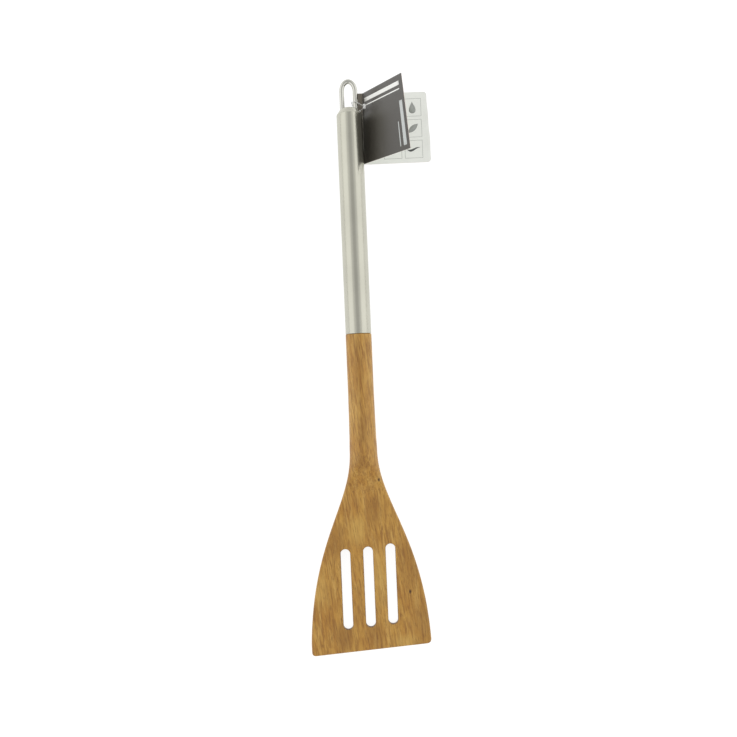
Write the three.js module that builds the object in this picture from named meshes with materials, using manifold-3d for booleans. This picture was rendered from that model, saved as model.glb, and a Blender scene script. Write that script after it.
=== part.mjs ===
import * as THREE from 'three';
import { mergeVertices } from 'three/addons/utils/BufferGeometryUtils.js';
import Module from 'manifold-3d';

// Grill spatula: a slotted wooden blade, a steel-sleeved handle, a wire hanging loop and a folded card tag.
// Millimetres. +Z is up off the resting surface and +Y runs along the tool toward the hanging loop.
// The origin lies on the resting surface, on the long axis, under the root of the blade.

const wasm = await Module();
wasm.setup();

// Driving dimensions
const TUBE_RADIUS = 9.0;
const TUBE_WALL = 0.6;
const AXIS_HEIGHT = 9.0; // height of the handle's centre line above the resting surface
const SHANK_END_Y = 100.0; // where the wood meets the steel sleeve
const SLEEVE_END_Y = 252.2; // where the sleeve meets the end cap
const CAP_TOP_Y = 256.9;
const LOOP_TOP_Y = 277.8;
const JOINT_GAP = 0.3; // clearance left wherever two pieces meet end to end
const ROUND_SEGMENTS = 40; // shared by every nested round piece, so that their facets line up

// Wood
const BLADE_HALF_WIDTH = 42.3;
const EDGE_LEFT = { x: -BLADE_HALF_WIDTH, y: -126.2 };
const EDGE_RIGHT = { x: BLADE_HALF_WIDTH, y: -119.9 };
const EDGE_CORNER = 3.2;
const FLARE_START = { x: 9.6, y: 18.9 };
const FLARE_END = { x: 42.7, y: -133.4 };
const FLARE_START_PULL_Y = -23.0; // control point heights of the flare's single cubic curve
const FLARE_END_PULL_Y = -44.4;
const FLARE_STATIONS = 26;
const SHANK_TAPER = [[30, 9.3], [45, 9.12], [60, TUBE_RADIUS]]; // place along the shank and its radius there
const ROOT_THICKNESS = 7.4;
const TIP_THICKNESS = 3.2;
const SCOOP_TOP_Y = 22.0; // the round shank starts to sink into the flat blade here
const SCOOP_BOTTOM_Y = -15.0;
const EDGE_ROUNDING = 1.3;
const CORNER_SEGMENTS = ROUND_SEGMENTS / 4;
const SLOT_WIDTH = 6.8;
const SLOT_LENGTH = 57.3;
const SLOTS = [
  { x: -15.8, top: -50.5 },
  { x: 0.2, top: -49.4 },
  { x: 16.0, top: -47.8 },
];
const TENON_RADIUS = 7.8;
const TENON_END_Y = 140.0;

// Adhesive film between the tenon and the sleeve
const FILM_CLEARANCE = 0.05;

// End cap
const CAP_WALL = 0.8;
const CAP_TOP_RADIUS = 4.9; // of the flat top
const CAP_SHOULDER_RADIUS = 6.6; // where the cone turns into the top's rounding
const CAP_SKIRT_Y = 247.5;
const CAP_SKIRT_CLEARANCE = 0.2;

// Hanging loop
const WIRE_RADIUS = 1.7;
const LEG_X = 4.7;
const LEG_BOTTOM_Y = 244.0;
const BEND_START_Y = 269.0;
const WIRE_SIDES = 16;
const WIRE_STEPS = 56;
const LEG_SHARE = 0.36; // part of the wire's length in each straight leg
const WIRE_HOLE_CLEARANCE = 0.15;

// Tag: one folded card with a back leaf, a narrow spine strip on top of it and a raised front cover
const CARD = 0.3;
const TAG_BOTTOM_Y = 220.0;
const TAG_TOP_Y = 270.0;
const TAG_RIGHT_X = 56.6;
const TAG_CORNER = 2.6;
const LEAF_RISE_START_X = 14.0; // the leaf lies flat to the right of this and rises toward the fold
const LEAF_RISE_END_X = 8.2;
const LEAF_RISE = 0.95;
const FOLD_X = 6.2;
const FOLD_STEPS = 8;
const LAYER_SPACING = 0.58;
const CREASE_BOTTOM_X = 9.0; // the crease is slightly out of line with the handle
const CREASE_TOP_X = 9.95;
const CREASE_Z = CARD / 2 + LEAF_RISE + LAYER_SPACING;
const COVER_LENGTH = 46.4;
const COVER_BOTTOM_DEG = 48.0; // the cover is raised and a little twisted
const COVER_TOP_DEG = 56.3;
const COVER_STATIONS = 8;
const COVER_CREASE_GAP = 0.2;
const TAG_HOLE = { x: 7.65, y: 257.8, radius: 0.95 };

// Loop tie
const FILAMENT_RADIUS = 0.35;
const FILAMENT_SIDES = 8;
const FILAMENT_STEPS = 50;
const TIE_HEAD = new THREE.Vector3(10.75, 258.4, 9.0);
const TIE_HEAD_RADII = new THREE.Vector3(1.05, 1.8, 1.0);

const finishes = {
  wood: { color: 0x9c7546, roughness: 0.55, metalness: 0.0 },
  film: { color: 0xd8cfae, roughness: 0.6, metalness: 0.0 },
  steel: { color: 0xc9c8c2, roughness: 0.32, metalness: 1.0 },
  wire: { color: 0xd3d3d0, roughness: 0.16, metalness: 1.0 },
  nylon: { color: 0xeeeeea, roughness: 0.35, metalness: 0.0 },
  leaf: { color: 0xdcded8, roughness: 0.6, metalness: 0.0 },
  cover: { color: 0x3b3833, roughness: 0.5, metalness: 0.0 },
};

const group = new THREE.Group();

function add(name, finish, geometry) {
  const mesh = new THREE.Mesh(geometry, new THREE.MeshStandardMaterial(finishes[finish]));
  mesh.name = name;
  group.add(mesh);
}

function toManifold(source) {
  const bare = source.clone();
  bare.deleteAttribute('normal');
  bare.deleteAttribute('uv');
  const welded = mergeVertices(bare);
  const corners = welded.index.array;
  const kept = [];
  for (let i = 0; i < corners.length; i += 3) {
    const [a, b, c] = [corners[i], corners[i + 1], corners[i + 2]];
    if (a !== b && b !== c && c !== a) {
      kept.push(a, b, c);
    }
  }
  return new wasm.Manifold(new wasm.Mesh({
    numProp: 3,
    vertProperties: new Float32Array(welded.attributes.position.array),
    triVerts: new Uint32Array(kept),
  }));
}

function toGeometry(manifold) {
  const mesh = manifold.getMesh();
  const geometry = new THREE.BufferGeometry();
  geometry.setAttribute('position', new THREE.BufferAttribute(mesh.vertProperties, 3));
  geometry.setIndex(new THREE.BufferAttribute(mesh.triVerts, 1));
  geometry.computeVertexNormals();
  return geometry;
}

// Skins a row of matching outlines that follow each other along +Y and closes both ends.
function loft(outlines) {
  const count = outlines[0].length;
  const faces = [];
  for (let k = 0; k + 1 < outlines.length; k += 1) {
    for (let i = 0; i < count; i += 1) {
      const next = (i + 1) % count;
      const [a, b] = [k * count + i, k * count + next];
      const [c, d] = [b + count, a + count];
      faces.push(a, d, c, a, c, b);
    }
  }
  const lastStart = (outlines.length - 1) * count;
  const flat = outlines.map((outline) => outline.map((p) => new THREE.Vector2(p.x, p.z)));
  for (const [a, b, c] of THREE.ShapeUtils.triangulateShape(flat[0], [])) {
    faces.push(a, b, c);
  }
  for (const [a, b, c] of THREE.ShapeUtils.triangulateShape(flat.at(-1), [])) {
    faces.push(lastStart + a, lastStart + c, lastStart + b);
  }
  const geometry = new THREE.BufferGeometry().setFromPoints(outlines.flat());
  geometry.setIndex(faces);
  return geometry;
}

// Section across the tool at y: a box from bottom to top with rounded corners, a circle when they meet.
function section(y, halfWidth, bottom, top, radius) {
  const corners = [
    [halfWidth - radius, top - radius],
    [radius - halfWidth, top - radius],
    [radius - halfWidth, bottom + radius],
    [halfWidth - radius, bottom + radius],
  ];
  return corners.flatMap(([x, z], quarter) => Array.from({ length: CORNER_SEGMENTS + 1 }, (_, step) => {
    const angle = (Math.PI / 2) * (quarter + step / CORNER_SEGMENTS);
    return new THREE.Vector3(x + radius * Math.cos(angle), y, z + radius * Math.sin(angle));
  }));
}

function prism(shape, low, high) {
  const options = { depth: high - low, bevelEnabled: false, curveSegments: 8 };
  return new THREE.ExtrudeGeometry(shape, options).translate(0, 0, low);
}

// Closed outline through the given corners, each one rounded off over its own distance.
function roundedOutline(corners) {
  const shape = new THREE.Shape();
  corners.forEach(({ x, y, round }, i) => {
    const corner = new THREE.Vector2(x, y);
    const before = corners.at(i - 1);
    const after = corners[(i + 1) % corners.length];
    const [entry, exit] = [before, after].map((other) => {
      const away = new THREE.Vector2(other.x, other.y).sub(corner);
      return corner.clone().add(away.setLength(round));
    });
    if (i === 0) {
      shape.moveTo(entry.x, entry.y);
    } else {
      shape.lineTo(entry.x, entry.y);
    }
    if (round > 0) {
      shape.quadraticCurveTo(corner.x, corner.y, exit.x, exit.y);
    }
  });
  return shape;
}

function turned(profile) {
  const points = profile.map(([radius, y]) => new THREE.Vector2(radius, y));
  return new THREE.LatheGeometry(points, ROUND_SEGMENTS).translate(0, 0, AXIS_HEIGHT);
}

function sweep(curve, radius, sides, steps) {
  const outline = new THREE.Shape().absarc(0, 0, radius, 0, Math.PI * 2);
  const options = { steps, extrudePath: curve, bevelEnabled: false, curveSegments: sides / 2 };
  return new THREE.ExtrudeGeometry(outline, options);
}

function bladeThickness(y) {
  const shankHeight = 2 * FLARE_START.x;
  const taper = THREE.MathUtils.mapLinear(y, SCOOP_BOTTOM_Y, EDGE_RIGHT.y, ROOT_THICKNESS, TIP_THICKNESS);
  const roundness = THREE.MathUtils.smoothstep(y, SCOOP_BOTTOM_Y, SCOOP_TOP_Y);
  return THREE.MathUtils.lerp(Math.min(taper, ROOT_THICKNESS), shankHeight, roundness);
}

function bladeSection(x, y) {
  const thickness = bladeThickness(y);
  const roundness = THREE.MathUtils.smoothstep(y, SCOOP_BOTTOM_Y, FLARE_START.y);
  const radius = THREE.MathUtils.lerp(EDGE_ROUNDING, Math.min(x, thickness / 2), roundness);
  return section(y, x, 0, thickness, radius);
}

function roundSection(y, radius, centre) {
  return section(y, radius, centre - radius, centre + radius, radius);
}

function woodOutlines() {
  const flare = new THREE.CubicBezierCurve(
    new THREE.Vector2(FLARE_END.x, FLARE_END.y),
    new THREE.Vector2(FLARE_END.x, FLARE_END_PULL_Y),
    new THREE.Vector2(FLARE_START.x, FLARE_START_PULL_Y),
    new THREE.Vector2(FLARE_START.x, FLARE_START.y),
  );
  const outlines = flare.getPoints(FLARE_STATIONS).map(({ x, y }) => bladeSection(x, y));
  const shoulderY = SHANK_END_Y - JOINT_GAP / 2;
  for (const [y, radius] of [...SHANK_TAPER, [shoulderY, TUBE_RADIUS]]) {
    outlines.push(roundSection(y, radius, radius));
  }
  outlines.push(roundSection(shoulderY, TENON_RADIUS, AXIS_HEIGHT));
  outlines.push(roundSection(TENON_END_Y, TENON_RADIUS, AXIS_HEIGHT));
  return outlines;
}

function slotShape({ x, top }) {
  const radius = SLOT_WIDTH / 2;
  const shape = new THREE.Shape();
  shape.absarc(x, top - radius, radius, 0, Math.PI);
  shape.absarc(x, top - SLOT_LENGTH + radius, radius, Math.PI, 2 * Math.PI);
  return shape;
}

function bladeAndShank() {
  const trim = roundedOutline([
    { ...EDGE_LEFT, round: EDGE_CORNER },
    { ...EDGE_RIGHT, round: EDGE_CORNER },
    { x: BLADE_HALF_WIDTH, y: TENON_END_Y + 10, round: 0 },
    { x: -BLADE_HALF_WIDTH, y: TENON_END_Y + 10, round: 0 },
  ]);
  const above = 2 * FLARE_START.x + 1;
  let wood = toManifold(loft(woodOutlines())).intersect(toManifold(prism(trim, -1, above)));
  for (const slot of SLOTS) {
    wood = wood.subtract(toManifold(prism(slotShape(slot), -1, above)));
  }
  return toGeometry(wood);
}

function tenonAdhesive() {
  const inner = TENON_RADIUS + FILM_CLEARANCE;
  const outer = TUBE_RADIUS - TUBE_WALL - FILM_CLEARANCE;
  const [low, high] = [SHANK_END_Y + JOINT_GAP, TENON_END_Y - 1];
  return turned([[inner, low], [outer, low], [outer, high], [inner, high], [inner, low]]);
}

function tubeSleeve() {
  const inner = TUBE_RADIUS - TUBE_WALL;
  const [low, high] = [SHANK_END_Y + JOINT_GAP / 2, SLEEVE_END_Y - JOINT_GAP / 2];
  return turned([[inner, low], [TUBE_RADIUS, low], [TUBE_RADIUS, high], [inner, high], [inner, low]]);
}

function endCap() {
  const rim = SLEEVE_END_Y + JOINT_GAP / 2;
  const skirt = TUBE_RADIUS - TUBE_WALL - CAP_SKIRT_CLEARANCE;
  const bore = skirt - CAP_WALL;
  const topRounding = new THREE.QuadraticBezierCurve(
    new THREE.Vector2(CAP_SHOULDER_RADIUS, CAP_TOP_Y - 0.8),
    new THREE.Vector2(CAP_SHOULDER_RADIUS - 0.7, CAP_TOP_Y),
    new THREE.Vector2(CAP_TOP_RADIUS, CAP_TOP_Y),
  ).getPoints(4).map(({ x, y }) => [x, y]);
  const shell = turned([
    [0, CAP_TOP_Y - CAP_WALL],
    [CAP_TOP_RADIUS, CAP_TOP_Y - CAP_WALL],
    [CAP_SHOULDER_RADIUS - CAP_WALL, CAP_TOP_Y - 1.6],
    [bore, rim + CAP_WALL],
    [bore, CAP_SKIRT_Y],
    [skirt, CAP_SKIRT_Y],
    [skirt, rim],
    [TUBE_RADIUS, rim],
    [TUBE_RADIUS - 0.1, rim + 0.5],
    ...topRounding,
    [0, CAP_TOP_Y],
  ]);
  let cap = toManifold(shell);
  for (const side of [-1, 1]) {
    const hole = new THREE.CylinderGeometry(
      WIRE_RADIUS + WIRE_HOLE_CLEARANCE,
      WIRE_RADIUS + WIRE_HOLE_CLEARANCE,
      CAP_TOP_Y - CAP_SKIRT_Y,
      2 * WIRE_SIDES,
    );
    hole.translate(side * LEG_X, CAP_TOP_Y, AXIS_HEIGHT);
    cap = cap.subtract(toManifold(hole));
  }
  return toGeometry(cap);
}

// Two straight legs joined by half an ellipse.
class LoopCurve extends THREE.Curve {
  getPoint(t, target = new THREE.Vector3()) {
    const legLength = BEND_START_Y - LEG_BOTTOM_Y;
    const rise = LOOP_TOP_Y - WIRE_RADIUS - BEND_START_Y;
    if (t < LEG_SHARE) {
      return target.set(LEG_X, LEG_BOTTOM_Y + legLength * (t / LEG_SHARE), AXIS_HEIGHT);
    }
    if (t > 1 - LEG_SHARE) {
      return target.set(-LEG_X, LEG_BOTTOM_Y + legLength * ((1 - t) / LEG_SHARE), AXIS_HEIGHT);
    }
    const angle = Math.PI * ((t - LEG_SHARE) / (1 - 2 * LEG_SHARE));
    return target.set(LEG_X * Math.cos(angle), BEND_START_Y + rise * Math.sin(angle), AXIS_HEIGHT);
  }
}

function hangingLoop() {
  return toGeometry(toManifold(sweep(new LoopCurve(), WIRE_RADIUS, WIRE_SIDES, WIRE_STEPS)));
}

// Nylon loop: round the wire's right leg, under the tag's fold, up through its hole and into the head.
function loopTie() {
  const path = new THREE.CatmullRomCurve3([
    TIE_HEAD,
    new THREE.Vector3(8.8, 259.2, 10.1),
    new THREE.Vector3(6.7, 260.2, 11.0),
    new THREE.Vector3(4.7, 261.0, 11.45),
    new THREE.Vector3(2.9, 261.3, 10.7),
    new THREE.Vector3(2.2, 261.2, 9.0),
    new THREE.Vector3(2.5, 260.6, 6.2),
    new THREE.Vector3(3.3, 259.5, 2.6),
    new THREE.Vector3(4.7, 258.3, 0.7),
    new THREE.Vector3(6.2, 257.9, 0.42),
    new THREE.Vector3(7.75, 257.8, 1.4),
    new THREE.Vector3(8.7, 257.9, 3.6),
    TIE_HEAD,
  ]);
  const head = new THREE.SphereGeometry(1, 20, 12);
  head.scale(TIE_HEAD_RADII.x, TIE_HEAD_RADII.y, TIE_HEAD_RADII.z);
  head.translate(TIE_HEAD.x, TIE_HEAD.y, TIE_HEAD.z);
  const filament = sweep(path, FILAMENT_RADIUS, FILAMENT_SIDES, FILAMENT_STEPS);
  return toGeometry(toManifold(filament).add(toManifold(head)));
}

// Section of the back leaf, its fold and the spine strip, with the strip ending just short of the crease.
function leafOutline(y, creaseX) {
  const centre = new THREE.Vector2(FOLD_X, CREASE_Z - LAYER_SPACING / 2);
  const bend = (radius) => Array.from({ length: FOLD_STEPS + 1 }, (_, step) => {
    const angle = Math.PI * (1.5 - step / FOLD_STEPS);
    return [centre.x + radius * Math.cos(angle), centre.y + radius * Math.sin(angle)];
  });
  const rise = [0, 0.25, 0.5, 0.75, 1].map((share) => [
    THREE.MathUtils.lerp(LEAF_RISE_START_X, LEAF_RISE_END_X, share),
    CARD / 2 + LEAF_RISE * THREE.MathUtils.smoothstep(share, 0, 1),
  ]);
  const offset = (points, amount) => points.map(([x, z]) => [x, z + amount]);
  const under = [[TAG_RIGHT_X + 1, CARD / 2], ...rise];
  const stripEnd = creaseX - JOINT_GAP;
  const clockwise = [
    ...offset(under, -CARD / 2),
    ...bend(LAYER_SPACING / 2 + CARD / 2),
    [stripEnd, CREASE_Z + CARD / 2],
    [stripEnd, CREASE_Z - CARD / 2],
    ...bend(LAYER_SPACING / 2 - CARD / 2).reverse(),
    ...offset(under, CARD / 2).reverse(),
  ];
  return clockwise.reverse().map(([x, z]) => new THREE.Vector3(x, y, z));
}

function tagBackLeaf() {
  const card = toManifold(loft([
    leafOutline(TAG_BOTTOM_Y - 1, CREASE_BOTTOM_X),
    leafOutline(TAG_TOP_Y + 1, CREASE_TOP_X),
  ]));
  const plan = roundedOutline([
    { x: 0, y: TAG_BOTTOM_Y, round: 0 },
    { x: TAG_RIGHT_X, y: TAG_BOTTOM_Y, round: TAG_CORNER },
    { x: TAG_RIGHT_X, y: TAG_TOP_Y, round: TAG_CORNER },
    { x: 0, y: TAG_TOP_Y, round: 0 },
  ]);
  const hole = new THREE.Shape().absarc(TAG_HOLE.x, TAG_HOLE.y, TAG_HOLE.radius, 0, Math.PI * 2);
  const trimmed = card.intersect(toManifold(prism(plan, -1, 4)));
  return toGeometry(trimmed.subtract(toManifold(prism(hole, -1, 4))));
}

function coverOutline(share) {
  const angle = THREE.MathUtils.degToRad(THREE.MathUtils.lerp(COVER_BOTTOM_DEG, COVER_TOP_DEG, share));
  const y = THREE.MathUtils.lerp(TAG_BOTTOM_Y, TAG_TOP_Y, share);
  const creaseX = THREE.MathUtils.lerp(CREASE_BOTTOM_X, CREASE_TOP_X, share);
  const corners = [[COVER_CREASE_GAP, -1], [COVER_LENGTH, -1], [COVER_LENGTH, 1], [COVER_CREASE_GAP, 1]];
  return corners.map(([along, side]) => {
    const across = (side * CARD) / 2;
    const x = creaseX + along * Math.cos(angle) - across * Math.sin(angle);
    const z = CREASE_Z + along * Math.sin(angle) + across * Math.cos(angle);
    return new THREE.Vector3(x, y, z);
  });
}

function tagFrontCover() {
  const shares = Array.from({ length: COVER_STATIONS + 1 }, (_, step) => step / COVER_STATIONS);
  return toGeometry(toManifold(loft(shares.map(coverOutline))));
}

add('blade_and_shank', 'wood', bladeAndShank());
add('tenon_adhesive', 'film', tenonAdhesive());
add('tube_sleeve', 'steel', tubeSleeve());
add('end_cap', 'steel', endCap());
add('hanging_loop', 'wire', hangingLoop());
add('loop_tie', 'nylon', loopTie());
add('tag_back_leaf', 'leaf', tagBackLeaf());
add('tag_front_cover', 'cover', tagFrontCover());

export default group;
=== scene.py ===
"""Looks of the grill spatula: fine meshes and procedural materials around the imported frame."""
import math

import bmesh
import bpy
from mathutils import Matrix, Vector
from mathutils.geometry import delaunay_2d_cdt


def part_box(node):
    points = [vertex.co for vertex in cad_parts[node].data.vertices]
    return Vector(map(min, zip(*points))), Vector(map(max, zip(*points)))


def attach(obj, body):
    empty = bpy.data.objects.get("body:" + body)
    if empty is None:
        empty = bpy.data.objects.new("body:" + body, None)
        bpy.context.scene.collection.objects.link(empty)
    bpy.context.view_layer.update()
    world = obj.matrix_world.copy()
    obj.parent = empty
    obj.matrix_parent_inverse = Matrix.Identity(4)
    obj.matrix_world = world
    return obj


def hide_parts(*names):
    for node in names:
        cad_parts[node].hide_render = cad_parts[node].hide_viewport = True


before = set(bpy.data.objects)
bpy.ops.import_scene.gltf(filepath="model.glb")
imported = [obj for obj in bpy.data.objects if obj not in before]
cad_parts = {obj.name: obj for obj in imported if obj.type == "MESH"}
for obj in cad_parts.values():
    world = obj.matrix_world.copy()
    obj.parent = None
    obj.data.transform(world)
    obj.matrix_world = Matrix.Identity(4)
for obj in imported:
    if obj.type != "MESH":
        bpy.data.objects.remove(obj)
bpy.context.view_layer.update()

MM = 0.001
AXIS_HEIGHT = 9.0
TUBE_RADIUS = 9.0


def in_mm(node):
    """A node's box in millimetres."""
    low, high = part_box(node)
    return Vector(low) / MM, Vector(high) / MM


def lerp(a, b, share):
    return a + (b - a) * share


def smooth(value, low, high):
    share = min(max((value - low) / (high - low), 0.0), 1.0)
    return share * share * (3.0 - 2.0 * share)


# ---------------------------------------------------------------- materials


class Nodes:
    """A short way to write a node tree."""

    def __init__(self, name):
        self.material = bpy.data.materials.new(name)
        self.material.use_nodes = True
        self.tree = self.material.node_tree
        self.shader = self.tree.nodes["Principled BSDF"]

    def add(self, kind, settings=None, **inputs):
        node = self.tree.nodes.new(kind)
        for key, value in (settings or {}).items():
            setattr(node, key, value)
        for key, value in inputs.items():
            self.feed(node, key.replace("_", " "), value)
        return node

    def feed(self, node, key, value):
        socket = node.inputs[key]
        if isinstance(value, bpy.types.NodeSocket):
            self.tree.links.new(value, socket)
        else:
            socket.default_value = value

    def set(self, **inputs):
        for key, value in inputs.items():
            self.feed(self.shader, key.replace("_", " "), value)

    def place(self, scale=(1, 1, 1), shift=(0, 0, 0), lean=0.0):
        """Object coordinates in metres, leaned over in plan, then stretched and shifted."""
        source = self.add("ShaderNodeTexCoord").outputs["Object"]
        if lean:
            turn = self.add("ShaderNodeMapping", Vector=source)
            turn.inputs["Rotation"].default_value = (0.0, 0.0, lean)
            source = turn.outputs["Vector"]
        mapping = self.add("ShaderNodeMapping", Vector=source, Scale=scale, Location=shift)
        return mapping.outputs["Vector"]

    def spot(self, x, y, radius, stretch):
        """1 in the middle of a soft patch at (x, y) millimetres, 0 outside its radius."""
        shift = (-x * MM * stretch[0], -y * MM * stretch[1], 0.0)
        distance = self.add("ShaderNodeVectorMath", {"operation": "LENGTH"},
                            Vector=self.place(shift=shift, scale=stretch))
        made = self.add("ShaderNodeMapRange", {"interpolation_type": "SMOOTHSTEP"},
                        Value=distance.outputs["Value"])
        made.inputs["From Min"].default_value = radius * MM
        made.inputs["From Max"].default_value = 0.2 * radius * MM
        return made.outputs["Result"]

    def noise(self, vector, scale, detail=3.0, roughness=0.5, distortion=0.0):
        made = self.add("ShaderNodeTexNoise", Vector=vector, Scale=scale, Detail=detail,
                        Roughness=roughness, Distortion=distortion)
        return made.outputs["Fac"]

    def ramp(self, value, stops):
        """A straight colour ramp through stops of (position, colour)."""
        made = self.add("ShaderNodeValToRGB", Fac=value)
        elements = made.color_ramp.elements
        while len(elements) < len(stops):
            elements.new(0.5)
        for element, (position, color) in zip(elements, stops):
            element.position = position
            element.color = (*color, 1.0)
        return made.outputs["Color"]

    def mix(self, factor, a, b, blend="MIX"):
        made = self.add("ShaderNodeMix", {"data_type": "RGBA", "blend_type": blend})
        for index, value in ((0, factor), (6, a), (7, b)):
            socket = made.inputs[index]
            if isinstance(value, bpy.types.NodeSocket):
                self.tree.links.new(value, socket)
            elif index == 0:
                socket.default_value = value
            else:
                socket.default_value = (*value, 1.0)
        return made.outputs[2]

    def math(self, operation, a, b=0.0):
        made = self.add("ShaderNodeMath", {"operation": operation})
        for index, value in ((0, a), (1, b)):
            if isinstance(value, bpy.types.NodeSocket):
                self.tree.links.new(value, made.inputs[index])
            else:
                made.inputs[index].default_value = value
        return made.outputs[0]

    def bump(self, height, strength, distance):
        made = self.add("ShaderNodeBump", Height=height, Strength=strength, Distance=distance)
        self.feed(self.shader, "Normal", made.outputs["Normal"])


def srgb(red, green, blue):
    """A colour given as 0 to 255 screen values, as linear light."""
    return tuple(((v / 255 + 0.055) / 1.055) ** 2.4 for v in (red, green, blue))


# Small dark knots: place on the wood and radius, in millimetres
KNOTS = ((28.7, -82.3, 1.3), (9.9, -2.0, 1.1))
KNOT_STRETCH = (1.0, 0.6, 0.0)
# Soft darker and paler patches: place in millimetres, radius across, length as a share of it, strength. The
# three dark ones down the middle of the shank and scoop (at y 74, 32 and 12) are painted shade where the
# round top turns away from the side lamps; the others are the wood's own tone.
DARK_TONE_AND_SHANK_SHADE_PATCHES = (
    (-19.0, -113.0, 10.0, 1.6, 0.6), (-1.4, 12.0, 6.0, 1.6, 0.5), (37.0, -103.0, 13.0, 1.8, 0.4),
    (-22.0, -46.0, 10.0, 1.8, 0.45), (31.0, -62.0, 13.0, 2.2, 0.4), (6.0, -24.0, 9.0, 1.8, 0.4),
    (3.0, -112.0, 10.0, 1.4, 0.45), (-1.0, 74.0, 4.5, 7.0, 0.4), (0.5, 32.0, 4.0, 4.5, 0.5),
)
PALE_PATCHES = (
    (-6.5, -38.0, 9.0, 1.8, 0.6), (8.0, -75.0, 12.0, 2.0, 0.4),
    (-34.0, -80.0, 9.0, 2.2, 0.3), (24.0, -118.0, 14.0, 0.5, 0.5),
)
GRAIN_LEAN = -0.1
BLACK = (0.0, 0.0, 0.0)
WHITE = (1.0, 1.0, 1.0)


def grain(m, along, scale, depth=1.0, **settings):
    """Noise that runs with the wood's grain, drawn out along the tool."""
    return m.noise(m.place(scale=(1.0, along, depth), lean=GRAIN_LEAN), scale, **settings)


def patchy(m, color, patches, break_up, tone):
    """Lays soft patches of another tone over the wood, broken up by its own figure."""
    for x, y, radius, length, strength in patches:
        patch = m.spot(x, y, radius, (1.0, 1.0 / length, 0.0))
        broken = m.math("MULTIPLY", patch, m.math("MULTIPLY", break_up, 2 * strength))
        color = m.mix(broken, color, tone)
    return color


def wood_material(name, shade):
    """Oiled hardwood: soft blotches, fine leaning streaks, short dark pores and a few knots, with painted
    shade laid down the middle of the round shank.
    """
    m = Nodes(name)
    blotch = grain(m, 0.4, 90.0, depth=0.6, detail=6.0, roughness=0.66, distortion=0.7)
    curl = grain(m, 0.22, 380.0, detail=4.0, roughness=0.6, distortion=1.1)
    vein = grain(m, 0.1, 260.0, detail=4.0, roughness=0.6, distortion=0.5)
    streak = grain(m, 0.07, 900.0, detail=4.0, roughness=0.62)
    pore = grain(m, 0.08, 1900.0, detail=2.0, roughness=0.5)
    color = m.ramp(blotch, [
        (0.30, srgb(166, 116, 52)),
        (0.46, srgb(184, 136, 66)),
        (0.58, srgb(193, 148, 78)),
        (0.72, srgb(176, 128, 60)),
    ])
    pale = m.ramp(vein, [(0.50, BLACK), (0.64, WHITE)])
    color = m.mix(m.math("MULTIPLY", pale, 0.5), color, srgb(212, 172, 108))
    knotty = m.ramp(curl, [(0.40, WHITE), (0.52, BLACK)])
    color = m.mix(m.math("MULTIPLY", knotty, 0.28), color, srgb(146, 102, 44))
    dark = m.ramp(streak, [(0.38, WHITE), (0.53, BLACK)])
    color = m.mix(m.math("MULTIPLY", dark, 0.6), color, srgb(130, 84, 36))
    # Darker patches: the wood's own tone, and painted shade down the shank's middle.
    color = patchy(m, color, DARK_TONE_AND_SHANK_SHADE_PATCHES, blotch, srgb(138, 94, 42))
    color = patchy(m, color, PALE_PATCHES, vein, srgb(206, 168, 100))
    pores = m.ramp(pore, [(0.30, WHITE), (0.40, BLACK)])
    color = m.mix(m.math("MULTIPLY", pores, 0.6), color, srgb(104, 64, 28))
    for x, y, radius in KNOTS:
        knot = m.math("MULTIPLY", m.spot(x, y, radius, KNOT_STRETCH), 0.9)
        color = m.mix(knot, color, srgb(58, 32, 14))
    color = m.mix(1.0, color, shade, "MULTIPLY")
    m.set(Base_Color=color, Specular_IOR_Level=0.5)
    m.set(Roughness=m.ramp(streak, [(0.3, (0.52, 0.52, 0.52)), (0.7, (0.38, 0.38, 0.38))]))
    m.bump(m.math("ADD", m.math("MULTIPLY", streak, 0.6), m.math("MULTIPLY", pore, 0.4)), 0.3, 0.0002)
    return m.material


def steel_material(name, tint, roughness, scratch):
    """Satin steel with fine scratches that run round the tube."""
    m = Nodes(name)
    fine = m.noise(m.place(scale=(0.04, 1.0, 0.04)), 5200.0, detail=3.0, roughness=0.6)
    cloud = m.noise(m.place(), 35.0, detail=2.0)
    clouded = m.ramp(cloud, [(0.35, BLACK), (0.7, WHITE)])
    color = m.mix(clouded, tint, tuple(0.93 * v for v in tint))
    spread = m.math("MULTIPLY_ADD", fine, 0.1)
    spread.node.inputs[2].default_value = roughness - 0.05
    m.set(Base_Color=color, Metallic=1.0, Roughness=spread)
    m.bump(fine, scratch, 0.00002)
    return m.material


def nylon_material(name, clearness):
    m = Nodes(name)
    haze = m.noise(m.place(), 900.0, detail=2.0)
    color = m.mix(m.math("MULTIPLY", haze, 0.4), (0.9, 0.9, 0.88), (0.78, 0.79, 0.78))
    m.set(Base_Color=color, Roughness=0.3, Transmission_Weight=clearness, IOR=1.53, Subsurface_Weight=0.15)
    m.shader.inputs["Subsurface Radius"].default_value = (0.001, 0.001, 0.001)
    m.bump(haze, 0.1, 0.00005)
    return m.material


def card_material(name, color, shade, roughness, coat=0.0):
    """Coated card: faint fibre mottling under the print, a slight orange-peel in the coating."""
    m = Nodes(name)
    fibre = m.noise(m.place(), 1400.0, detail=4.0, roughness=0.65)
    cloud = m.noise(m.place(), 60.0, detail=2.0)
    mottled = m.mix(m.math("MULTIPLY", fibre, 0.8), color, shade)
    toned = m.mix(m.math("MULTIPLY", cloud, 0.35), mottled, shade)
    m.set(Base_Color=toned, Roughness=roughness, Coat_Weight=coat, Coat_Roughness=0.3)
    m.bump(fibre, 0.12, 0.00004)
    return m.material


def film_material():
    m = Nodes("cured_adhesive")
    cloud = m.noise(m.place(), 260.0, detail=3.0)
    color = m.mix(cloud, srgb(214, 203, 165), srgb(186, 172, 128))
    m.set(Base_Color=color, Roughness=0.5)
    m.bump(cloud, 0.3, 0.0001)
    return m.material


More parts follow.
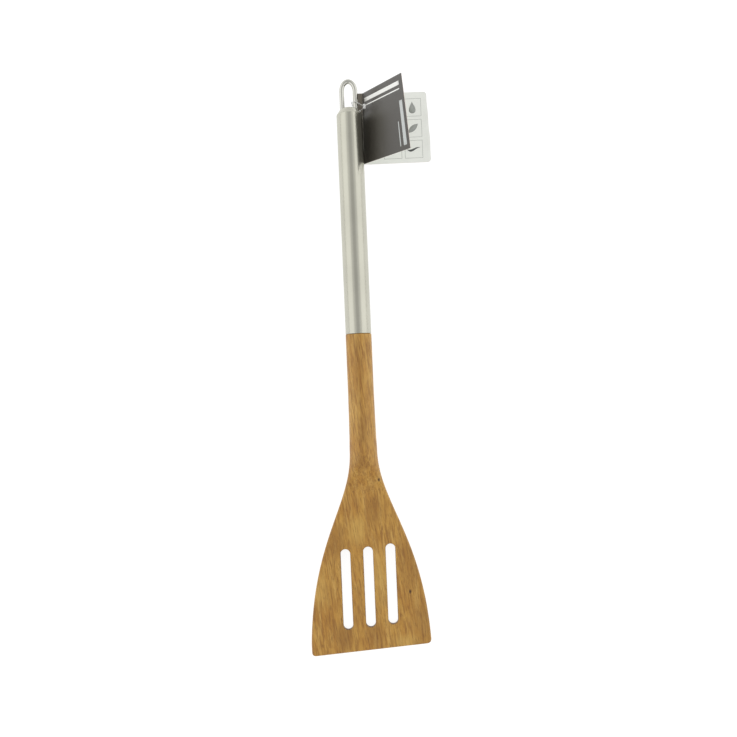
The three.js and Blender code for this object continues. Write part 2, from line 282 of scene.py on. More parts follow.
WOOD = wood_material("oiled_wood", (0.96, 0.95, 0.71))
# A darker copy of the wood for the slots' walls: painted shade inside the slots.
WOOD_SLOT_SHADE = wood_material("slot_wall_painted_shade", (0.42, 0.4, 0.38))
SLEEVE = steel_material("satin_sleeve", (0.53, 0.522, 0.445), 0.24, 0.12)
CAP = steel_material("satin_cap", (0.53, 0.522, 0.445), 0.24, 0.08)
WIRE = steel_material("bright_wire", (0.62, 0.615, 0.56), 0.09, 0.03)
NYLON = nylon_material("clear_nylon", 0.75)
NYLON_HEAD = nylon_material("milky_nylon", 0.1)
CARD_DARK = card_material("card_dark_print", srgb(60, 57, 51), srgb(70, 66, 59), 0.42, coat=0.75)
# A lighter copy of the dark print for the spine strip's top: painted highlight where the strip catches light.
CARD_SPINE_HIGHLIGHT = card_material("card_spine_painted_highlight", srgb(110, 103, 91), srgb(122, 114, 101), 0.45, coat=0.2)
CARD_PALE = card_material("card_pale_print", srgb(240, 241, 236), srgb(226, 228, 221), 0.55)
CARD_CORE = card_material("card_core", srgb(236, 222, 214), srgb(224, 206, 198), 0.75)
INK_WHITE = card_material("ink_white", srgb(250, 250, 246), srgb(238, 238, 233), 0.42)
INK_SILVER = card_material("ink_silver", srgb(206, 210, 208), srgb(190, 194, 192), 0.4)
INK_GREY = card_material("ink_grey", srgb(160, 163, 158), srgb(146, 149, 144), 0.5)
INK_DARK = card_material("ink_dark", srgb(92, 94, 92), srgb(76, 78, 76), 0.5)
FILM = film_material()


# ---------------------------------------------------------------- mesh helpers


def piece(name, points, faces, materials, body, nodes=()):
    """A mesh piece from points in millimetres, with doubled points joined and faces outward."""
    mesh = bpy.data.meshes.new(name)
    mesh.from_pydata([Vector(p) * MM for p in points], [], faces)
    made = bpy.data.objects.new(name, mesh)
    bpy.context.scene.collection.objects.link(made)
    for material in materials:
        mesh.materials.append(material)
    weld(made)
    mesh.shade_smooth()
    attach(made, body)
    if nodes:
        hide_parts(*nodes)
    return made


def weld(made, distance=1e-6):
    work = bmesh.new()
    work.from_mesh(made.data)
    bmesh.ops.remove_doubles(work, verts=work.verts, dist=distance)
    bmesh.ops.dissolve_degenerate(work, edges=work.edges, dist=1e-8)
    bmesh.ops.recalc_face_normals(work, faces=work.faces)
    work.to_mesh(made.data)
    work.free()


def apply_modifier(made, kind, **settings):
    modifier = made.modifiers.new(kind.lower(), kind)
    for key, value in settings.items():
        setattr(modifier, key, value)
    bpy.context.view_layer.update()
    evaluated = made.evaluated_get(bpy.context.evaluated_depsgraph_get())
    shaped = bpy.data.meshes.new_from_object(evaluated)
    made.modifiers.clear()
    old = made.data
    made.data = shaped
    bpy.data.meshes.remove(old)


def even_normals(made):
    """Keeps flat stretches flat beside small roundings."""
    made.modifiers.new("even_normals", "WEIGHTED_NORMAL").keep_sharp = True


def strip(rows, closed=False):
    """Faces between matching rows of points, numbered one row after another."""
    count = len(rows[0])
    faces = []
    for k in range(len(rows) - 1):
        for i in range(count if closed else count - 1):
            j = (i + 1) % count
            faces.append((k * count + i, k * count + j, (k + 1) * count + j, (k + 1) * count + i))
    return faces


def flatten(rows):
    return [point for row in rows for point in row]


def round_corners(corners, steps=5):
    """A closed outline with each corner (x, y, distance) rounded off; returns plain points."""
    points = []
    for i, (x, y, distance) in enumerate(corners):
        corner = Vector((x, y))
        if distance == 0:
            points.append(corner)
            continue
        before = Vector(corners[i - 1][:2])
        after = Vector(corners[(i + 1) % len(corners)][:2])
        entry = corner + (before - corner).normalized() * distance
        leave = corner + (after - corner).normalized() * distance
        for step in range(steps + 1):
            t = step / steps
            points.append(entry * (1 - t) ** 2 + corner * 2 * t * (1 - t) + leave * t * t)
    return points


def turned(profile, segments=128):
    """Rows of points from a closed (radius, y) profile turned about the handle's axis."""
    rows = []
    for k in range(segments + 1):
        angle = 2 * math.pi * k / segments
        across, up = math.sin(angle), math.cos(angle)
        rows.append([(radius * across, y, AXIS_HEIGHT + radius * up) for radius, y in profile])
    return flatten(rows), strip(rows, closed=True)


def tube_along(path, radius, sides, closed=False):
    """A round tube along a list of points, with flat ends when it is open."""
    count = len(path)
    tangents = []
    for i in range(count):
        ahead = path[(i + 1) % count] if closed or i + 1 < count else path[i]
        behind = path[i - 1] if closed or i > 0 else path[i]
        tangents.append((ahead - behind).normalized())
    side = tangents[0].orthogonal().normalized()
    rows = []
    for point, tangent in zip(path, tangents):
        side = (side - tangent * side.dot(tangent)).normalized()
        up = tangent.cross(side)
        ring = []
        for k in range(sides):
            angle = 2 * math.pi * k / sides
            ring.append(point + side * radius * math.cos(angle) + up * radius * math.sin(angle))
        rows.append(ring)
    faces = strip(rows, closed=True)
    if not closed:
        faces.append(tuple(range(sides)))
        faces.append(tuple((count - 1) * sides + k for k in range(sides)))
    return flatten(rows), faces


def cut_hole(made, start, end, radius):
    """Drills a round hole through a piece, from start to end in millimetres."""
    points, faces = tube_along([start, end], radius, 32)
    mesh = bpy.data.meshes.new("drill")
    mesh.from_pydata([p * MM for p in points], [], faces)
    drill = bpy.data.objects.new("drill", mesh)
    bpy.context.scene.collection.objects.link(drill)
    weld(drill)
    apply_modifier(made, "BOOLEAN", operation="DIFFERENCE", object=drill, solver="EXACT")
    bpy.data.objects.remove(drill)
    bpy.data.meshes.remove(mesh)


def smooth_path(points, steps, closed=False):
    """Catmull-Rom points through the given ones."""
    count = len(points)
    made = []
    spans = count if closed else count - 1
    for i in range(spans):
        a, b, c, d = (points[(i + k) % count] if closed else points[min(max(i + k, 0), count - 1)]
                      for k in (-1, 0, 1, 2))
        for step in range(steps):
            t = step / steps
            made.append(0.5 * ((2 * b) + (c - a) * t + (2 * a - 5 * b + 4 * c - d) * t * t
                               + (3 * b - a - 3 * c + d) * t ** 3))
    if not closed:
        made.append(points[-1])
    return made


# ---------------------------------------------------------------- camera, floor and light

CAMERA_PLACE = (0.00597, 0.0756, 0.566)
CAMERA_ROLL_DEG = -2.42
LENS_MM = 39.0
SENSOR_MM = 36.0


def make_camera():
    data = bpy.data.cameras.new("camera")
    data.lens = LENS_MM
    data.sensor_width = SENSOR_MM
    data.clip_start = 0.01
    camera = bpy.data.objects.new("camera", data)
    camera.location = CAMERA_PLACE
    camera.rotation_euler = (0.0, 0.0, math.radians(CAMERA_ROLL_DEG))
    bpy.context.scene.collection.objects.link(camera)
    bpy.context.scene.camera = camera


def make_floor():
    """Pale table top, lit well enough to read as white."""
    half = 3.0
    below = -0.0002
    corners = [(x, y, below) for x, y in ((-half, -half), (half, -half), (half, half), (-half, half))]
    mesh = bpy.data.meshes.new("floor")
    mesh.from_pydata(corners, [], [(0, 1, 2, 3)])
    floor = bpy.data.objects.new("floor", mesh)
    bpy.context.scene.collection.objects.link(floor)
    m = Nodes("pale_table")
    m.set(Base_Color=(0.3, 0.3, 0.3, 1.0), Roughness=0.9, Specular_IOR_Level=0.0)
    m.set(Emission_Color=(1.0, 1.0, 1.0, 1.0), Emission_Strength=0.86)
    mesh.materials.append(m.material)


def soft_box(name, place, width, length, radiance):
    """A rectangular lamp that faces the object, given by how bright its face is."""
    data = bpy.data.lights.new(name, "AREA")
    data.shape = "RECTANGLE"
    data.size = length
    data.size_y = width
    data.energy = radiance * width * length * math.pi
    lamp = bpy.data.objects.new(name, data)
    lamp.location = place
    aim = Vector((0.0, CAMERA_PLACE[1], 0.0)) - Vector(place)
    lamp.rotation_euler = aim.to_track_quat("-Z", "Y").to_euler()
    bpy.context.scene.collection.objects.link(lamp)


# Soft boxes on each side: name, distance out, height, width, length, how bright the face is
SIDE_BOXES = (
    ("wide_box", 0.98, 0.85, 1.75, 3.2, 0.26),
    ("low_box", 1.15, 0.66, 1.3, 3.2, 0.47),
)
WORLD_STRENGTH = 0.6


def make_light():
    world = bpy.data.worlds.new("studio")
    world.use_nodes = True
    background = world.node_tree.nodes["Background"]
    background.inputs["Color"].default_value = (1.0, 1.0, 1.0, 1.0)
    background.inputs["Strength"].default_value = WORLD_STRENGTH
    bpy.context.scene.world = world
    for side, side_name in ((-1, "left"), (1, "right")):
        for name, out, up, width, length, radiance in SIDE_BOXES:
            place = (out * side, CAMERA_PLACE[1], up)
            soft_box(f"{side_name}_{name}", place, width, length, radiance)
    soft_box("end_box", (0.0, 1.9, 0.6), 1.0, 2.4, 0.4)
    bpy.context.scene.view_settings.view_transform = "Standard"


make_camera()
make_floor()
make_light()


# ---------------------------------------------------------------- wooden blade and shank

BLADE_HALF_WIDTH = 42.3
EDGE_LEFT_Y = -126.2
EDGE_RIGHT_Y = -119.9
EDGE_CORNER = 3.2
FLARE = (Vector((9.6, 18.9)), Vector((9.6, -23.0)), Vector((42.7, -44.4)), Vector((42.7, -133.4)))
ROOT_THICKNESS = 7.4
TIP_THICKNESS = 3.2
SCOOP_TOP_Y = 22.0
SCOOP_BOTTOM_Y = -15.0
EDGE_ROUNDING = 1.3
SHANK_RADII = ((18.9, 9.6), (30.0, 9.3), (45.0, 9.12), (60.0, 9.0), (100.0, 9.0))
SHOULDER_Y = 99.85
SHOULDER_ROUNDING = 0.35
TENON_RADIUS = 7.8
TENON_END_Y = 140.0
SEAM_Y = -30.0
SLOT_WIDTH = 6.8
SLOT_LENGTH = 57.3
SLOTS = ((-15.8, -50.5), (0.2, -49.4), (16.0, -47.8))
SLOT_ROUNDING = 0.7
ROUND_STEPS = 6
CORNER_STEPS = 16
FILL_SPACING = 3.0


def flare_half_width(y):
    """Half the width of the wood at y, from the flare's one cubic curve or the shank's taper."""
    if y >= FLARE[0].y:
        for (low, start), (high, end) in zip(SHANK_RADII, SHANK_RADII[1:]):
            if y <= high:
                return lerp(start, end, smooth(y, low, high))
        return SHANK_RADII[-1][1]
    a, b, c, d = FLARE
    low, high = 0.0, 1.0
    for _ in range(40):
        t = 0.5 * (low + high)
        point = a * (1 - t) ** 3 + b * 3 * t * (1 - t) ** 2 + c * 3 * t * t * (1 - t) + d * t ** 3
        low, high = (t, high) if point.y > y else (low, t)
    return min(point.x, BLADE_HALF_WIDTH)


def wood_height(y):
    if y >= SCOOP_TOP_Y:
        return 2 * flare_half_width(y)
    share = min(max((y - SCOOP_BOTTOM_Y) / (EDGE_RIGHT_Y - SCOOP_BOTTOM_Y), 0.0), 1.2)
    blade = lerp(ROOT_THICKNESS, TIP_THICKNESS, share)
    return lerp(blade, 2 * FLARE[0].x, smooth(y, SCOOP_BOTTOM_Y, SCOOP_TOP_Y))


def wood_section(y):
    """Points round the wood at y: a box with rounded corners that becomes a circle up the shank."""
    half, height = flare_half_width(y), wood_height(y)
    roundness = smooth(y, SCOOP_BOTTOM_Y, FLARE[0].y)
    radius = lerp(EDGE_ROUNDING, min(half, height / 2), roundness)
    return rounded_section(y, half, 0.0, height, radius)


def rounded_section(y, half, bottom, top, radius):
    ring = []
    corners = ((1, top - radius), (-1, top - radius), (-1, bottom + radius), (1, bottom + radius))
    for quarter, (side, z) in enumerate(corners):
        for step in range(CORNER_STEPS + 1):
            angle = math.pi / 2 * (quarter + step / CORNER_STEPS)
            x = side * (half - radius) + radius * math.cos(angle)
            ring.append((x, y, z + radius * math.sin(angle)))
    return ring


def shank_rows():
    stations = 88
    end_y = SHOULDER_Y - SHOULDER_ROUNDING
    rows = [wood_section(lerp(SEAM_Y, end_y, k / stations)) for k in range(stations + 1)]
    for step in range(1, ROUND_STEPS + 1):
        angle = math.pi / 2 * step / ROUND_STEPS
        radius = TUBE_RADIUS - SHOULDER_ROUNDING * (1 - math.cos(angle))
        y = SHOULDER_Y - SHOULDER_ROUNDING * (1 - math.sin(angle))
        rows.append(rounded_section(y, radius, AXIS_HEIGHT - radius, AXIS_HEIGHT + radius, radius))
    for y, radius in ((SHOULDER_Y, TENON_RADIUS), (TENON_END_Y, TENON_RADIUS)):
        rows.append(rounded_section(y, radius, AXIS_HEIGHT - radius, AXIS_HEIGHT + radius, radius))
    return rows


def blade_outline():
    """The blade's plan from the seam down the left side, along the edge and up the right side.

    Each entry is a point and the direction that its edge rounding faces."""
    left = [(Vector((-flare_half_width(y), y)), Vector((-1, 0))) for y in side_stations(EDGE_LEFT_Y)]
    right = [(Vector((flare_half_width(y), y)), Vector((1, 0))) for y in side_stations(EDGE_RIGHT_Y)]
    slant = Vector((2 * BLADE_HALF_WIDTH, EDGE_RIGHT_Y - EDGE_LEFT_Y)).normalized()
    first = corner_arc(Vector((-BLADE_HALF_WIDTH, EDGE_LEFT_Y)), Vector((0, 1)), slant)
    last = corner_arc(Vector((BLADE_HALF_WIDTH, EDGE_RIGHT_Y)), -slant, Vector((0, 1)))
    edge = []
    steps = 36
    for k in range(1, steps):
        point = first[-1][0].lerp(last[0][0], k / steps)
        edge.append((point, Vector((slant.y, -slant.x))))
    return left + first + edge + last + right[::-1]


def side_stations(corner_y):
    low = corner_y + EDGE_CORNER
    steps = 48
    return [lerp(SEAM_Y, low, k / steps) for k in range(steps)]


def corner_arc(corner, toward_entry, toward_leave):
    entry = corner + toward_entry * EDGE_CORNER
    leave = corner + toward_leave * EDGE_CORNER
    made = []
    steps = 8
    for k in range(steps + 1):
        t = k / steps
        point = entry * (1 - t) ** 2 + corner * 2 * t * (1 - t) + leave * t * t
        along = (corner - entry) * (1 - t) + (leave - corner) * t
        made.append((point, Vector((along.y, -along.x)).normalized()))
    return made


def slot_outline(x, top):
    """A slot's plan with round ends, clockwise, facing into the slot."""
    radius = SLOT_WIDTH / 2
    high, low = top - radius, top - SLOT_LENGTH + radius
    made = []
    steps = 18
    for centre_y, start in ((high, 0.0), (low, math.pi)):
        for k in range(steps + 1):
            angle = start + math.pi * k / steps
            out = Vector((math.cos(angle), math.sin(angle)))
            made.append((Vector((x, centre_y)) + out * radius, -out))
        side = 1 if start == math.pi else -1
        ahead, behind = (low, high) if start == 0.0 else (high, low)
        runs = 18
        for k in range(1, runs):
            made.append((Vector((x + side * radius, lerp(behind, ahead, k / runs))), Vector((-side, 0))))
    return made


def wall_rows(outline, radius):
    """Rows from the top's inner edge, over the rounding, down the wall and under to the bottom."""
    turns = [math.pi / 2 * (1 - k / CORNER_STEPS) for k in range(CORNER_STEPS + 1)]
    rows = []
    for top, angles in ((True, turns), (False, turns[::-1])):
        for angle in angles:
            row = []
            for point, out in outline:
                place = point - out * radius * (1 - math.cos(angle))
                drop = radius * (1 - math.sin(angle))
                row.append((place.x, place.y, wood_height(place.y) - drop if top else drop))
            rows.append(row)
    return rows


def inside_slot(point, margin):
    for x, top in SLOTS:
        radius = SLOT_WIDTH / 2
        nearest = min(max(point.y, top - SLOT_LENGTH + radius), top - radius)
        if (point - Vector((x, nearest))).length < radius + margin:
            return True
    return False


def inside_blade(point, margin):
    slope = (EDGE_RIGHT_Y - EDGE_LEFT_Y) / (2 * BLADE_HALF_WIDTH)
    edge_y = lerp(EDGE_LEFT_Y, EDGE_RIGHT_Y, 0.5) + slope * point.x
    in_width = abs(point.x) < flare_half_width(point.y) - margin
    return in_width and edge_y + margin < point.y < SEAM_Y - margin


def blade_fill(outer, holes):
    """Triangles between the rounded rims, in plan."""
    points = [Vector((p[0], p[1])) for p in outer]
    edges = [(i, (i + 1) % len(outer)) for i in range(len(outer))]
    for hole in holes:
        start = len(points)
        points += [Vector((p[0], p[1])) for p in hole]
        edges += [(start + i, start + (i + 1) % len(hole)) for i in range(len(hole))]
    margin = EDGE_ROUNDING + 0.4 * FILL_SPACING
    across = int(BLADE_HALF_WIDTH / FILL_SPACING)
    down = int((SEAM_Y - EDGE_LEFT_Y) / FILL_SPACING) + 1
    for row in range(down):
        for column in range(-across, across + 1):
            shift = 0.5 * (row % 2)
            point = Vector(((column + shift) * FILL_SPACING, SEAM_Y - (row + 0.7) * FILL_SPACING))
            if inside_blade(point, margin) and not inside_slot(point, margin):
                points.append(point)
    made, _, faces, *_ = delaunay_2d_cdt(points, edges, [], 1, 1e-6)
    kept = []
    for face in faces:
        centre = sum((made[i] for i in face), Vector((0, 0))) / len(face)
        if not inside_slot(centre, SLOT_ROUNDING - 0.02):
            kept.append(tuple(face))
    return made, kept


def make_wood():
    outline = wall_rows(blade_outline(), EDGE_ROUNDING)
    slots = [wall_rows(slot_outline(x, top), SLOT_ROUNDING) for x, top in SLOTS]
    parts = [(flatten(outline), strip(outline))]
    parts += [(flatten(rows), strip(rows, closed=True)) for rows in slots]
    fill, triangles = blade_fill(outline[0], [rows[0] for rows in slots])
    parts.append(([(p.x, p.y, wood_height(p.y)) for p in fill], triangles))
    parts.append(([(p.x, p.y, 0.0) for p in fill], [face[::-1] for face in triangles]))
    shank = shank_rows()
    end = (len(shank) - 1) * len(shank[0])
    parts.append((flatten(shank), strip(shank, closed=True) + [tuple(end + k for k in range(len(shank[0])))]))
    points, faces = [], []
    for some_points, some_faces in parts:
        start = len(points)
        points += some_points
        faces += [tuple(start + i for i in face) for face in some_faces]
    wood = piece("wooden_blade", points, faces, [WOOD, WOOD_SLOT_SHADE], "spatula", ["blade_and_shank"])
    # The slots' walls take the darker copy of the wood, painted shade inside the slots.
    for polygon in wood.data.polygons:
        centre = polygon.center / MM
        if abs(polygon.normal.z) < 0.6 and inside_slot(centre.to_2d(), SLOT_ROUNDING):
            polygon.material_index = 1
    even_normals(wood)


make_wood()


# ---------------------------------------------------------------- sleeve, cap and wire loop

TUBE_WALL = 0.6
CAP_WALL = 0.8
SLEEVE_END_Y = 252.2
SLEEVE_SPACING = 4.0
CAP_GAP = 0.2
CAP_PINHOLE = 0.02
CAP_TOP_RADIUS = 4.9
CAP_SHOULDER_RADIUS = 6.6
WIRE_RADIUS = 1.7
LEG_X = 4.7
BEND_START_Y = 269.0


def make_sleeve():
    low = in_mm("tube_sleeve")[0]
    inner, outer = TUBE_RADIUS - TUBE_WALL, TUBE_RADIUS
    lip = 0.18
    profile = round_corners([
        (inner, low.y, lip),
        (outer, low.y, lip),
        (outer, SLEEVE_END_Y, 0),
        (inner, SLEEVE_END_Y, 0),
    ], 4)
    stretched = []
    for a, b in zip(profile, profile[1:] + profile[:1]):
        lengths = max(1, round((b - a).length / SLEEVE_SPACING))
        stretched += [a.lerp(b, k / lengths) for k in range(lengths)]
    points, faces = turned(stretched)
    sleeve = piece("steel_sleeve", points, faces, [SLEEVE], "spatula", ["tube_sleeve"])
    even_normals(sleeve)


def make_cap():
    low, high = in_mm("end_cap")
    rim = SLEEVE_END_Y
    skirt = TUBE_RADIUS - TUBE_WALL - CAP_GAP
    bore = skirt - CAP_WALL
    profile = round_corners([
        (CAP_PINHOLE, high.y - CAP_WALL, 0),
        (CAP_TOP_RADIUS, high.y - CAP_WALL, 0.3),
        (CAP_SHOULDER_RADIUS - CAP_WALL, high.y - 1.6, 0.3),
        (bore, rim + CAP_WALL, 0.3),
        (bore, low.y, 0.15),
        (skirt, low.y, 0.2),
        (skirt, rim, 0),
        (TUBE_RADIUS, rim, 0),
        (TUBE_RADIUS - 0.08, rim + 0.45, 0.4),
        (CAP_SHOULDER_RADIUS - 0.35, high.y - 0.35, 0.8),
        (CAP_TOP_RADIUS, high.y, 0.6),
        (CAP_PINHOLE, high.y, 0),
    ], 6)
    points, faces = turned(profile)
    cap = piece("coned_cap", points, faces, [CAP], "spatula", ["end_cap"])
    even_normals(cap)


def loop_path():
    """The wire's centre line: two legs and half an ellipse."""
    low, high = in_mm("hanging_loop")
    rise = high.y - WIRE_RADIUS - BEND_START_Y
    legs = 14
    bend = 64
    path = [Vector((LEG_X, lerp(low.y, BEND_START_Y, k / legs), AXIS_HEIGHT)) for k in range(legs)]
    for k in range(bend + 1):
        angle = math.pi * k / bend
        path.append(Vector((LEG_X * math.cos(angle), BEND_START_Y + rise * math.sin(angle), AXIS_HEIGHT)))
    for k in range(1, legs + 1):
        path.append(Vector((-LEG_X, lerp(BEND_START_Y, low.y, k / legs), AXIS_HEIGHT)))
    return path


def make_loop():
    points, faces = tube_along(loop_path(), WIRE_RADIUS, 32)
    loop = piece("wire_loop", points, faces, [WIRE], "spatula", ["hanging_loop"])
    even_normals(loop)


make_sleeve()
make_cap()
make_loop()


# ---------------------------------------------------------------- card tag

CARD = 0.3
TAG_LOW_Y = 220.0
TAG_HIGH_Y = 270.0
TAG_RIGHT_X = 56.6
TAG_CORNER = 2.6
LEAF_RISE = 0.95
LAYER_SPACING = 0.58
FOLD_X = 6.2
RISE_FROM_X = 14.0
RISE_TO_X = 8.2
CREASE_BOTTOM_X = 9.0
CREASE_TOP_X = 9.95
CREASE_Z = CARD / 2 + LEAF_RISE + LAYER_SPACING
LEAF_WAVE = 0.3
WAVE_FROM_X = 51.5
FREE_EDGE_NARROWING = 1.4
STRIP_CLEARANCE = 0.16
COVER_LENGTH = 46.4
COVER_BOTTOM_DEG = 48.0
COVER_TOP_DEG = 56.3
COVER_INSET = 0.6
TAG_HOLE = (7.65, 257.8)
TAG_HOLE_RADIUS = 0.6
INK = 0.015


def leaf_height(x, y):
    """The back leaf's middle surface: raised at its fold, slightly wavy at its free edge."""
    ripple = 1.0 - math.cos(0.34 * (y - TAG_LOW_Y) + 0.08 * x)
    wave = LEAF_WAVE * smooth(x, WAVE_FROM_X, TAG_RIGHT_X) * ripple
    return CARD / 2 + LEAF_RISE * smooth(-x, -RISE_FROM_X, -RISE_TO_X) + wave


def leaf_free_edge(share):
    """The leaf's right edge, a little narrower toward its top and not quite straight."""
    narrowing = FREE_EDGE_NARROWING * smooth(share, 0.15, 1.0)
    return TAG_RIGHT_X - narrowing - 0.2 * math.sin(9.0 * share) ** 2


def leaf_path(share):
    """From the leaf's free edge, under to the fold, round it and along the spine strip to the crease."""
    y = lerp(TAG_LOW_Y, TAG_HIGH_Y, share)
    nearest = min(share, 1 - share) * (TAG_HIGH_Y - TAG_LOW_Y)
    cut = 0.0
    if nearest < TAG_CORNER:
        cut = TAG_CORNER - math.sqrt(TAG_CORNER ** 2 - (TAG_CORNER - nearest) ** 2)
    row = []
    flat_steps, fold_steps, strip_steps = 64, 10, 6
    free_edge = leaf_free_edge(share) - cut
    for k in range(flat_steps):
        x = lerp(free_edge, FOLD_X, k / flat_steps)
        row.append((x, y, leaf_height(x, y)))
    middle = CREASE_Z - LAYER_SPACING / 2
    for k in range(fold_steps + 1):
        angle = math.pi * (1.5 - k / fold_steps)
        radius = LAYER_SPACING / 2
        row.append((FOLD_X + radius * math.cos(angle), y, middle + radius * math.sin(angle)))
    strip_end = lerp(CREASE_BOTTOM_X, CREASE_TOP_X, share) - STRIP_CLEARANCE
    for k in range(1, strip_steps + 1):
        row.append((lerp(FOLD_X, strip_end, k / strip_steps), y, CREASE_Z))
    return row


def corner_shares(length, corner):
    """Even steps along an edge, with extra ones in its rounded ends."""
    ends = [corner * (1 - math.cos(math.pi / 2 * k / 6)) / length for k in range(6)]
    middle = [lerp(corner / length, 1 - corner / length, k / 40) for k in range(41)]
    return ends + middle + [1 - e for e in reversed(ends)]


def card_sheet(name, rows, materials, node, body):
    """Thickens a sheet into card: the materials are for its upper side, lower side and cut edge."""
    card = piece(name, flatten(rows), strip(rows), materials, body, [node])
    if card.data.polygons[0].normal.z < 0:
        card.data.flip_normals()
    apply_modifier(card, "SOLIDIFY", thickness=CARD * MM, offset=0.0, use_even_offset=True,
                   use_rim=True, material_offset=1, material_offset_rim=2)
    for polygon in card.data.polygons:
        centre = polygon.center / MM
        up = (centre.y - TAG_LOW_Y) / (TAG_HIGH_Y - TAG_LOW_Y)
        crease = lerp(CREASE_BOTTOM_X, CREASE_TOP_X, up)
        if abs(centre.x - crease) < 0.35 and centre.z > CREASE_Z - CARD:
            polygon.material_index = materials.index(CARD_DARK)
    even_normals(card)
    return card


def make_leaf():
    rows = [leaf_path(share) for share in corner_shares(TAG_HIGH_Y - TAG_LOW_Y, TAG_CORNER)]
    materials = [CARD_PALE, CARD_DARK, CARD_CORE, CARD_SPINE_HIGHLIGHT]
    leaf = card_sheet("card_back_leaf", rows, materials, "tag_back_leaf", "tag")
    # The spine strip's upper face takes the lighter copy of the dark print, a painted highlight.
    for polygon in leaf.data.polygons:
        if polygon.center.z > (CREASE_Z + 0.3 * CARD) * MM:
            polygon.material_index = materials.index(CARD_SPINE_HIGHLIGHT)
    cut_hole(leaf, Vector((*TAG_HOLE, 0.5)), Vector((*TAG_HOLE, 3.0)), TAG_HOLE_RADIUS)
    even_normals(leaf)


def cover_point(along, up, lift=0.0):
    """A place on the raised cover: distance from the crease, share of its height, lift off it."""
    angle = math.radians(lerp(COVER_BOTTOM_DEG, COVER_TOP_DEG, up))
    crease = lerp(CREASE_BOTTOM_X, CREASE_TOP_X, up)
    inset = COVER_INSET * along / COVER_LENGTH
    return Vector((
        crease + along * math.cos(angle) - lift * math.sin(angle),
        lerp(TAG_LOW_Y + inset, TAG_HIGH_Y - inset, up),
        CREASE_Z + along * math.sin(angle) + lift * math.cos(angle),
    ))


def make_cover():
    across, high = 47, 50
    rows = []
    for k in range(high + 1):
        rows.append([cover_point(COVER_LENGTH * i / across, k / high) for i in range(across + 1)])
    materials = [CARD_DARK, CARD_PALE, CARD_CORE]
    card_sheet("card_front_cover", rows, materials, "tag_front_cover", "cover")


def print_patch(name, place, outline, ink, body):
    """A thin printed shape: an outline in the sheet's own measures, laid on it by place."""
    count = len(outline)
    points = [place(u, v, lift) for lift in (INK, -INK) for u, v in outline]
    faces = [tuple(range(count)), tuple(range(count, 2 * count))[::-1]]
    faces += [(k, k + count, (k + 1) % count + count, (k + 1) % count) for k in range(count)]
    return piece(name, points, faces, [ink], body)


def grid_rim(grid):
    """The points round a square grid's edge, ending where it starts."""
    last = len(grid) - 1
    rim = [grid[0][j] for j in range(last)] + [grid[i][last] for i in range(last)]
    rim += [grid[last][j] for j in range(last, 0, -1)] + [grid[i][0] for i in range(last, 0, -1)]
    return rim + rim[:1]


def print_bar(name, place, low, high, ink, body, steps=12):
    """A printed rectangle, cut into short lengths so that it follows a curved sheet."""
    across = [lerp(low[0], high[0], k / steps) for k in range(steps + 1)]
    along = [lerp(low[1], high[1], k / steps) for k in range(steps + 1)]
    top, bottom = ([[place(u, v, lift) for v in along] for u in across] for lift in (INK, -INK))
    points, faces = [], []
    for grid in (top, bottom, [grid_rim(top), grid_rim(bottom)]):
        start = len(points)
        points += flatten(grid)
        faces += [tuple(start + i for i in face) for face in strip(grid)]
    return piece(name, points, faces, [ink], body)


def on_cover(u, v, lift):
    return cover_point(u, v / (TAG_HIGH_Y - TAG_LOW_Y), CARD / 2 + lift)


def on_leaf(x, y, lift):
    return Vector((x, y, leaf_height(x, y) + CARD / 2 + lift))


# Bars on the cover: name, lower left and upper right from the crease's low end, ink
COVER_BARS = (
    ("print_rule", (2.2, 40.3), (42.4, 41.1), INK_WHITE),
    ("print_band", (2.2, 43.3), (42.6, 46.0), INK_WHITE),
    ("print_side_band", (40.8, 3.2), (43.8, 33.0), INK_SILVER),
    ("print_side_line", (37.4, 3.2), (38.2, 20.0), INK_SILVER),
)


def make_cover_print():
    for name, low, high, ink in COVER_BARS:
        print_bar(name, on_cover, low, high, ink, "cover")


BOX_SIZE = 12.6
BOX_PITCH = 14.8
BOX_LINE = 0.22
BOX_LEFT_X = 38.3
BOX_LOW_Y = 223.2
ICON_SHARE = 0.75
ICON_STEPS = 28


def print_frame(name, x, y):
    """A thin square outline on the back leaf."""
    right, top, line = x + BOX_SIZE, y + BOX_SIZE, BOX_LINE
    bars = (
        ((x, y), (right, y + line)),
        ((x, top - line), (right, top)),
        ((x, y + line), (x + line, top - line)),
        ((right - line, y + line), (right, top - line)),
    )
    for k, (low, high) in enumerate(bars):
        print_bar(f"{name}_{k}", on_leaf, low, high, INK_GREY, "tag", steps=2)


def icon_drop(x, y, size):
    """A drop: a circle drawn out to a point at the top."""
    made = []
    for k in range(ICON_STEPS):
        angle = 2 * math.pi * k / ICON_STEPS
        width = math.sin(angle) * math.sin(angle / 2) ** 1.5
        made.append((x + 0.36 * size * width, y - 0.45 * size * math.cos(math.pi - angle)))
    return made


def icon_wave(x, y, size):
    """A thick stroke that swells on the left and rises to the right."""
    steps = 24
    upper, lower = [], []
    for k in range(steps + 1):
        share = k / steps
        rise = 0.12 * share - 0.05 * math.sin(2 * math.pi * share)
        upper.append((x + size * (share - 0.5), y + size * rise))
    for px, py in reversed(upper[1:-1]):
        share = (px - x) / size + 0.5
        lower.append((px, py - 0.17 * size * math.sin(math.pi * share ** 0.7)))
    return upper + lower


def icon_leaf(x, y, size):
    """A leaf pointed at both ends, leaning to the right."""
    made = []
    for k in range(ICON_STEPS):
        angle = 2 * math.pi * k / ICON_STEPS
        along = 0.5 * size * math.cos(angle)
        across = 0.2 * size * math.sin(angle) * abs(math.sin(angle))
        made.append((x + 0.75 * along - 0.66 * across, y + 0.66 * along + 0.75 * across))
    return made


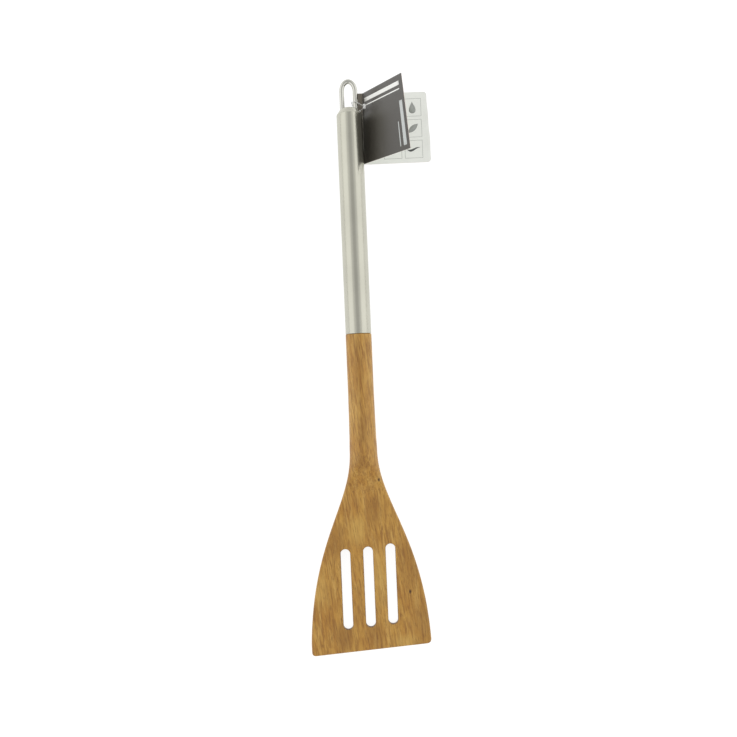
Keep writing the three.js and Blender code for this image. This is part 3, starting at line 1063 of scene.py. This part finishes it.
def make_leaf_print():
    icons = (icon_wave, icon_leaf, icon_drop)
    for column in range(2):
        for row in range(3):
            x = BOX_LEFT_X - column * BOX_PITCH
            y = BOX_LOW_Y + row * BOX_PITCH
            print_frame(f"print_box_{column}_{row}", x, y)
            icon = icons[(row + column) % 3]
            shape = icon(x + BOX_SIZE / 2, y + BOX_SIZE / 2, ICON_SHARE * BOX_SIZE)
            ink = INK_DARK if row == 0 else INK_GREY
            print_patch(f"print_icon_{column}_{row}", on_leaf, shape, ink, "tag")


make_leaf()
make_cover()
make_cover_print()
make_leaf_print()


# ---------------------------------------------------------------- nylon loop tie

FILAMENT_RADIUS = 0.35
TIE_HEAD = Vector((10.75, 258.4, 9.0))
TIE_HEAD_RADII = (1.08, 1.7, 0.95)
TIE_PATH = (
    (10.75, 258.4, 9.0), (8.8, 259.2, 10.1), (6.7, 260.2, 11.0), (4.7, 261.0, 11.45), (2.9, 261.3, 10.7),
    (2.2, 261.2, 9.0), (2.5, 260.6, 6.2), (3.3, 259.5, 2.6), (4.7, 258.3, 0.7), (6.2, 257.9, 0.42),
    (7.35, 257.8, 0.55), (7.65, 257.8, 1.2), (7.8, 257.8, 2.0), (8.7, 257.9, 3.6),
)


def make_tie():
    path = smooth_path([Vector(p) for p in TIE_PATH], 8, closed=True)
    points, faces = tube_along(path + path[:1], FILAMENT_RADIUS, 14)
    filament = piece("tie_filament", points, faces, [NYLON], "tie", ["loop_tie"])
    even_normals(filament)
    make_tie_head()


def make_tie_head():
    """The moulded lock: a rounded block with a waist, drawn along the tie's direction."""
    rows = []
    rings, sides = 18, 28
    width, length, height = TIE_HEAD_RADII
    for k in range(rings + 1):
        angle = math.pi * k / rings
        y = -length * math.cos(angle)
        waist = 1.0 - 0.12 * math.exp(-(y / 0.35) ** 2)
        reach = math.sin(angle) ** 0.6 * waist
        row = []
        for j in range(sides):
            turn = 2 * math.pi * j / sides
            across = math.copysign(abs(math.cos(turn)) ** 0.7, math.cos(turn))
            up = math.copysign(abs(math.sin(turn)) ** 0.7, math.sin(turn))
            row.append(TIE_HEAD + Vector((width * reach * across, y, height * reach * up)))
        rows.append(row)
    piece("tie_head", flatten(rows), strip(rows, closed=True), [NYLON_HEAD], "tie")


make_tie()
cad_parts["tenon_adhesive"].data.materials[0] = FILM
